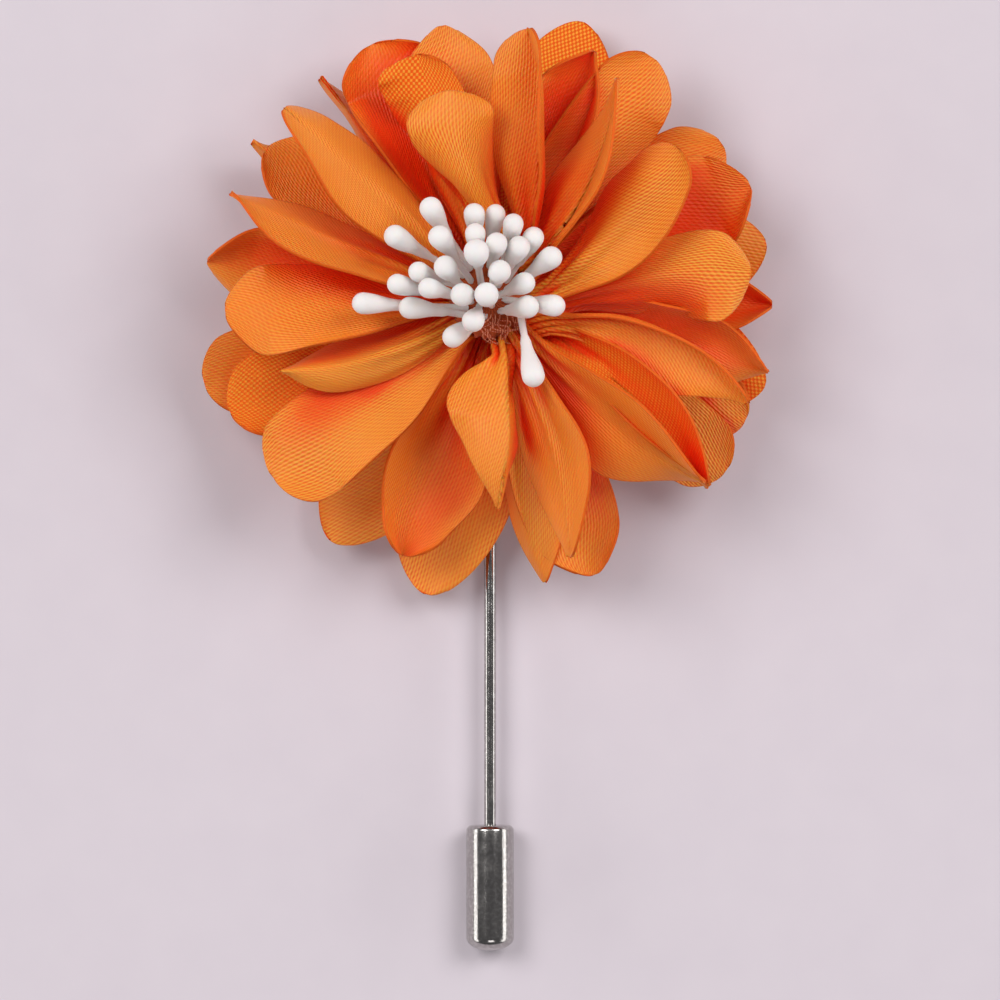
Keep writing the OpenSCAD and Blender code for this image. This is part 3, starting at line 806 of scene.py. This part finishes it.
def pip_material():
    """Chalky coating with a fine grain."""
    r = Recipe("stamen_coating")
    grain = r.noise(2600.0, 3.0)
    clouds = r.noise(300.0)
    colour = r.blend(clouds, rgb(0.90, 0.885, 0.87), rgb(0.80, 0.775, 0.76))
    r.set(Base_Color=colour, Roughness=r.math("MULTIPLY_ADD", grain, 0.2, 0.55),
          Normal=r.bump(grain, 0.25, 0.00004), Specular_IOR_Level=0.35,
          Subsurface_Weight=0.15, Subsurface_Scale=0.0008)
    return r.material


def core_material():
    """Gathered cloth and sewing thread, painted dark red as shade between the petals."""
    r = Recipe("gathered_core")
    fibre = r.noise(1500.0, 4.0, 0.65)
    # painted shade: the core's cloth is much darker than the petals' own satin
    colour = r.blend(fibre, rgb(0.30, 0.035, 0.008), rgb(0.66, 0.13, 0.03))
    r.set(Base_Color=colour, Roughness=0.8, Normal=r.bump(fibre, 0.6, 0.00015),
          Specular_IOR_Level=0.2, Sheen_Weight=0.2, Sheen_Roughness=0.5)
    return r.material


def thread_material():
    """Sewing thread with its twist."""
    r = Recipe("binding_thread")
    twist = r.node("ShaderNodeTexWave", {"Vector": r.place(), "Scale": 1400.0, "Distortion": 2.0})
    colour = r.blend(twist.outputs["Fac"], rgb(0.50, 0.09, 0.04), rgb(0.82, 0.34, 0.20))
    r.set(Base_Color=colour, Roughness=0.65, Normal=r.bump(twist.outputs["Fac"], 0.4, 0.00005),
          Specular_IOR_Level=0.25)
    return r.material


def nickel_material():
    """Dark nickel plating with faint lengthwise polishing marks and a few dull spots."""
    r = Recipe("polished_nickel")
    stretch = r.node("ShaderNodeMapping", {"Vector": r.place(), "Scale": (3.0, 0.12, 3.0)})
    marks = r.noise(2400.0, 3.0, vector=stretch.outputs["Vector"])
    dull = r.noise(420.0, 5.0, 0.75)
    grain = r.noise(3200.0)
    rough = r.math("MULTIPLY_ADD", r.ramp(dull, 0.45, 0.75), 0.12, 0.14)
    colour = r.blend(r.ramp(grain, 0.40, 0.85), rgb(0.40, 0.385, 0.37), rgb(0.60, 0.585, 0.565))
    normal = r.bump(grain, 0.25, 0.00002)
    r.set(Base_Color=colour, Metallic=1.0, Roughness=rough,
          Normal=r.bump(marks, 0.18, 0.00003, normal))
    return r.material


def floor_material():
    """Matte pale card."""
    r = Recipe("pale_floor")
    fibre = r.noise(220.0, 4.0)
    colour = r.blend(fibre, rgb(0.665, 0.605, 0.66), rgb(0.70, 0.64, 0.69))
    r.set(Base_Color=colour, Roughness=0.9, Specular_IOR_Level=0.1,
          Normal=r.bump(fibre, 0.05, 0.0002))
    return r.material


SATIN = satin_material()
WEAVE = weave_material()
SEALED_EDGE = sealed_edge_material()
PIP = pip_material()
CORE = core_material()
THREAD = thread_material()
NICKEL = nickel_material()


# ======== stamens, core, metal ========

def stamen_foot(k):
    """Where stamen k leaves the core, from the flower's centre."""
    if k == STRAY:
        return np.array(STRAY_FOOT, float)
    first = 0
    for count, radius, start in FOOT_RINGS:
        if k < first + count:
            break
        first += count
    a = math.radians(start + (k - first) * 360 / count)
    return np.array([TUFT[0] + radius * math.cos(a), TUFT[1] + radius * math.sin(a), TUFT[2]])


def stamen_path(foot, head, sag):
    """Centre line of a stamen: straight at the bulb, a little bowed in the stalk."""
    length = float(np.linalg.norm(head - foot))
    axis = (head - foot) / length
    side = np.cross(axis, (0.3, 0.2, 1.0))
    side /= np.linalg.norm(side)
    up = np.cross(axis, side)

    def at(s):
        bow = sag * max(0.0, s) * max(0.0, length - s) / length ** 2 * 4
        return foot + axis * s + side * bow, side, up
    return at, length


def stamens():
    """Tuft of matte teardrop pips on stalks that run down into the core."""
    points, faces = [], []
    for k, (x, y, z, d) in enumerate(STAMENS):
        at, length = stamen_path(stamen_foot(k), np.array([x, y, z], float),
                                 rng.uniform(-MOST_SAG, MOST_SAG))
        r = d / 2
        plump = rng.uniform(0.94, 1.04)
        neck_s = length - BULB_LEN
        stalk = [(ROOT_R, s) for s in np.linspace(-ROOT_DEPTH, neck_s, 7)[:-1]]
        neck = [(STALK_R + (r * plump - STALK_R) * (1 - math.cos(math.pi * t)) / 2,
                 length - BULB_LEN * (1 - t)) for t in np.linspace(0, 1, 14)]
        end = [(max(r * plump * math.cos(a), AXIS_R), length + r * math.sin(a))
               for a in np.linspace(0.12, math.pi / 2, 12)]
        add_shape(points, faces, *lathe(stalk + neck + end, PIP_SEGMENTS, at))
    obj = add_mesh("stamen_tuft", from_centre(points), faces, [PIP])
    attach(obj, "pin")
    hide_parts("stamens")


def closed_ends(rings, segments):
    """Faces of a tube of rings of points, with both its ends closed."""
    last = rings * segments - 1
    return grid_faces(rings, segments, wrap=True, flip=True) + [
        list(range(segments)), [last - k for k in range(segments)]]


def tube(line, radius, segments=8):
    """Points and faces of a thin round thread along a line of points."""
    line = np.asarray(line, float)
    ways = np.gradient(line, axis=0)
    ways /= np.linalg.norm(ways, axis=1, keepdims=True)
    points = []
    side = np.cross(ways[0], (0.13, 0.21, 0.97))
    for place, way in zip(line, ways):
        side = side - way * side.dot(way)
        side /= np.linalg.norm(side)
        up = np.cross(way, side)
        for k in range(segments):
            a = 2 * math.pi * k / segments
            points.append(place + radius * (math.cos(a) * side + math.sin(a) * up))
    return points, closed_ends(len(line), segments)


def gathered_core():
    """Core of petal feet: pleats that run up its side and meet on its domed top."""
    rings, segments = 40, 180
    points = []
    for i in range(rings):
        t = i / (rings - 1)
        rise = min(1.0, t / SIDE_SHARE)
        inward = max(0.0, (t - SIDE_SHARE) / DOME_SHARE)
        z = (CORE_Z + rise * (CORE_TOP_Z - CORE_Z - CORE_DOME_H)
             + CORE_DOME_H * math.sin(inward * math.pi / 2))
        # the dome stops just short of its middle
        r = (CORE_R - WAIST_IN * math.sin(math.pi * rise)) * math.cos(inward * math.pi / 2 * 0.985)
        for k in range(segments):
            a = 2 * math.pi * k / segments
            fold = PLEAT_DEPTH * math.cos(CORE_PLEATS * a + 0.8 * math.sin(3 * a) + 2.0 * t)
            tuck = fold * min(1.0, r / 1.2)
            points.append(((r + tuck) * math.cos(a), (r + tuck) * math.sin(a),
                           z + 0.12 * math.cos(CORE_PLEATS * a) * inward * min(1.0, r)))
    obj = add_mesh("core_gathers", from_centre(points), closed_ends(rings, segments), [CORE])
    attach(obj, "pin")
    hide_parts("gather_core")


def loose_end(k):
    """One end of thread that lies over the core's edge at the lower right of the tuft."""
    a = math.radians(rng.uniform(-100, -20))
    r0, r1 = rng.uniform(1.4, 2.6), rng.uniform(3.4, 4.6)
    twist = rng.uniform(-0.5, 0.5)
    lift = rng.uniform(0.15, 0.7)
    line = []
    for t in np.linspace(0, 1, 18):
        r, turned = r0 + (r1 - r0) * t, a + twist * t + 0.25 * math.sin(5 * t + k)
        line.append((r * math.cos(turned), r * math.sin(turned),
                     CORE_TOP_Z + 0.05 + lift * math.sin(math.pi * t) - 0.5 * t * t))
    return tube(line, rng.uniform(0.035, 0.07))


def binding_thread():
    """Thread wound around the core's waist, and the loose ends that show beside the stamens."""
    points, faces = [], []
    wound_r = CORE_R - 0.05
    wound = [(wound_r * math.cos(a), wound_r * math.sin(a),
              WAIST_Z + THREAD_PITCH * a / (2 * math.pi) + 0.05 * math.sin(5 * a))
             for a in np.linspace(0, THREAD_TURNS * 2 * math.pi, THREAD_TURNS * 60)]
    add_shape(points, faces, *tube(wound, THREAD_R))
    for k in range(LOOSE_ENDS):
        add_shape(points, faces, *loose_end(k))
    obj = add_mesh("core_thread", from_centre(points), faces, [THREAD])
    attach(obj, "pin")


def rounded(profile, r, steps=5):
    """The profile with each inner corner rounded to radius r, as plated metal has it."""
    out = [profile[0]]
    for before, corner, after in zip(profile, profile[1:], profile[2:]):
        b, c, a = (np.array(p, float) for p in (before, corner, after))
        cut = min(r, np.linalg.norm(b - c) / 2.2, np.linalg.norm(a - c) / 2.2)
        p = c + (b - c) / np.linalg.norm(b - c) * cut
        q = c + (a - c) / np.linalg.norm(a - c) * cut
        for t in np.linspace(0, 1, steps):
            out.append(tuple((1 - t) ** 2 * p + 2 * t * (1 - t) * c + t * t * q))
    out.append(profile[-1])
    return out


def needle_line(offset):
    """Points on the needle's axis, measured from the flower's centre towards its point. The cap
    lies on the floor, so the axis is the cap's radius above it."""
    def at(s):
        return (FLOWER_X, FLOWER_Y - offset - s, CAP_R), (1, 0, 0), (0, 0, 1)
    return at


def stick_pin():
    """Needle with a fine point, soldered across the back of a round pad."""
    root, shank = -NEEDLE_ROOT, NEEDLE_REACH - POINT_LEN
    needle = [(AXIS_R, root), (NEEDLE_R - 0.08, root), (NEEDLE_R, root + 0.1)]
    needle += [(NEEDLE_R, s) for s in np.linspace(root + 1, shank, 24)]
    needle += [(NEEDLE_R + (TIP_R - NEEDLE_R) * t ** POINT_POWER, shank + POINT_LEN * t)
               for t in np.linspace(0.05, 0.99, 18)]
    needle += [(AXIS_R / 2, NEEDLE_REACH)]
    pad_low, pad_high = CORE_Z - PAD_GAP - PAD_T, CORE_Z - PAD_GAP
    pad = rounded([(AXIS_R, pad_low), (PAD_R, pad_low), (PAD_R, pad_high), (AXIS_R, pad_high)],
                  PAD_ROUND)
    # a collar of solder around the root, a little uneven
    solder = rounded([(AXIS_R, root - 0.02), (SOLDER_R, root - 0.02), (SOLDER_R, PAD_R),
                      (AXIS_R, PAD_R)], SOLDER_ROUND)
    solder = [(r * (1 + 0.03 * math.sin(3.1 * s)), s) for r, s in solder]
    points, faces = lathe(needle, NEEDLE_SEGMENTS, needle_line(0))
    pad_points, pad_faces = lathe(pad, CAP_SEGMENTS)
    add_shape(points, faces, from_centre(pad_points), pad_faces)
    add_shape(points, faces, *lathe(solder, NEEDLE_SEGMENTS, needle_line(0)))
    obj = add_mesh("needle_and_pad", points, faces, [NICKEL])
    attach(obj, "pin")
    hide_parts("stick_pin")


def cap():
    """Push-on cap: drawn shell with a rolled mouth, a blind bore and a domed end."""
    shoulder = CAP_LEN - DOME_H
    walls = rounded([(AXIS_R, BORE_DEPTH), (BORE_R, BORE_DEPTH), (BORE_R, 0.0),
                     (CAP_R - MOUTH_CHAMFER, 0.0), (CAP_R, MOUTH_CHAMFER), (CAP_R, shoulder)],
                    CAP_ROUND)
    sides = [(CAP_R, s) for s in np.linspace(1.0, shoulder - 0.4, 14)]
    dome = [(max(CAP_R * math.cos(a), AXIS_R), shoulder + DOME_H * math.sin(a))
            for a in np.linspace(0.06, math.pi / 2, 18)]
    profile = walls[:-1] + sides + [walls[-1]] + dome
    points, faces = lathe(profile, CAP_SEGMENTS, needle_line(CAP_MOUTH))
    obj = add_mesh("cap_shell", points, faces, [NICKEL])
    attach(obj, "cap")
    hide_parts("cap")


# ======== the pin ========

petals()
gathered_core()
binding_thread()
stamens()
stick_pin()
cap()


# ======== floor, light, camera ========

# the picture's width and scale, and where the flower's centre is in it
PIXELS = 1000
PX_PER_MM = 11.0
CENTRE_PX = (490, 300)
VIEW_DISTANCE = 800.0
# height of the plane that is seen at that scale
SCALE_PLANE_Z = 9.0
SENSOR_MM = 36.0
FLOOR_HALF = 1500.0
# area lights: place, (width, height), watts and colour
DAYLIGHT = (1.0, 0.985, 0.98)
SOFTBOXES = {
    "softbox_left": ((-350, 240, 620), (360, 380), 2.62, DAYLIGHT),
    "softbox_right": ((360, 270, 600), (360, 380), 2.62, DAYLIGHT),
    "softbox_low": ((60, -520, 520), (300, 300), 0.6, (1.0, 0.97, 0.98)),
    "strip_left": ((-560, -40, 150), (900, 200), 1.3, DAYLIGHT),
    "strip_right": ((560, -40, 150), (900, 200), 1.3, DAYLIGHT),
}
LIGHT_TARGET = (FLOWER_X, FLOWER_Y - 10, 8)
WORLD_COLOUR = rgb(0.95, 0.93, 0.97)
WORLD_STRENGTH = 0.13


def add_floor():
    h = FLOOR_HALF
    floor = add_mesh("floor", [(-h, -h, 0), (h, -h, 0), (h, h, 0), (-h, h, 0)],
                     [[0, 1, 2, 3]], [floor_material()], smooth=False)


def add_softbox(name, place, size, watts, colour):
    """Area light aimed at the flower."""
    data = bpy.data.lights.new(name, "AREA")
    data.shape = "RECTANGLE"
    data.size, data.size_y = size[0] * MM, size[1] * MM
    data.energy = watts
    data.color = colour
    light = bpy.data.objects.new(name, data)
    bpy.context.scene.collection.objects.link(light)
    light.location = Vector(place) * MM
    way = Vector(LIGHT_TARGET) * MM - light.location
    light.rotation_euler = way.to_track_quat("-Z", "Y").to_euler()


def add_light():
    for name, values in SOFTBOXES.items():
        add_softbox(name, *values)
    world = bpy.data.worlds.new("studio")
    bpy.context.scene.world = world
    world.use_nodes = True
    backdrop = world.node_tree.nodes["Background"]
    backdrop.inputs["Color"].default_value = WORLD_COLOUR
    backdrop.inputs["Strength"].default_value = WORLD_STRENGTH


def add_camera():
    """Camera that looks straight down from far away."""
    data = bpy.data.cameras.new("camera")
    camera = bpy.data.objects.new("camera", data)
    bpy.context.scene.collection.objects.link(camera)
    frame_w = PIXELS / PX_PER_MM
    data.sensor_width = SENSOR_MM
    data.lens = SENSOR_MM * VIEW_DISTANCE / frame_w
    data.clip_start = 0.01
    middle_x = FLOWER_X + (PIXELS / 2 - CENTRE_PX[0]) / PX_PER_MM
    middle_y = FLOWER_Y - (PIXELS / 2 - CENTRE_PX[1]) / PX_PER_MM
    camera.location = Vector((middle_x, middle_y, SCALE_PLANE_Z + VIEW_DISTANCE)) * MM
    camera.rotation_euler = (0, 0, 0)
    bpy.context.scene.camera = camera


add_floor()
add_light()
add_camera()
bpy.context.scene.view_settings.view_transform = "Standard"
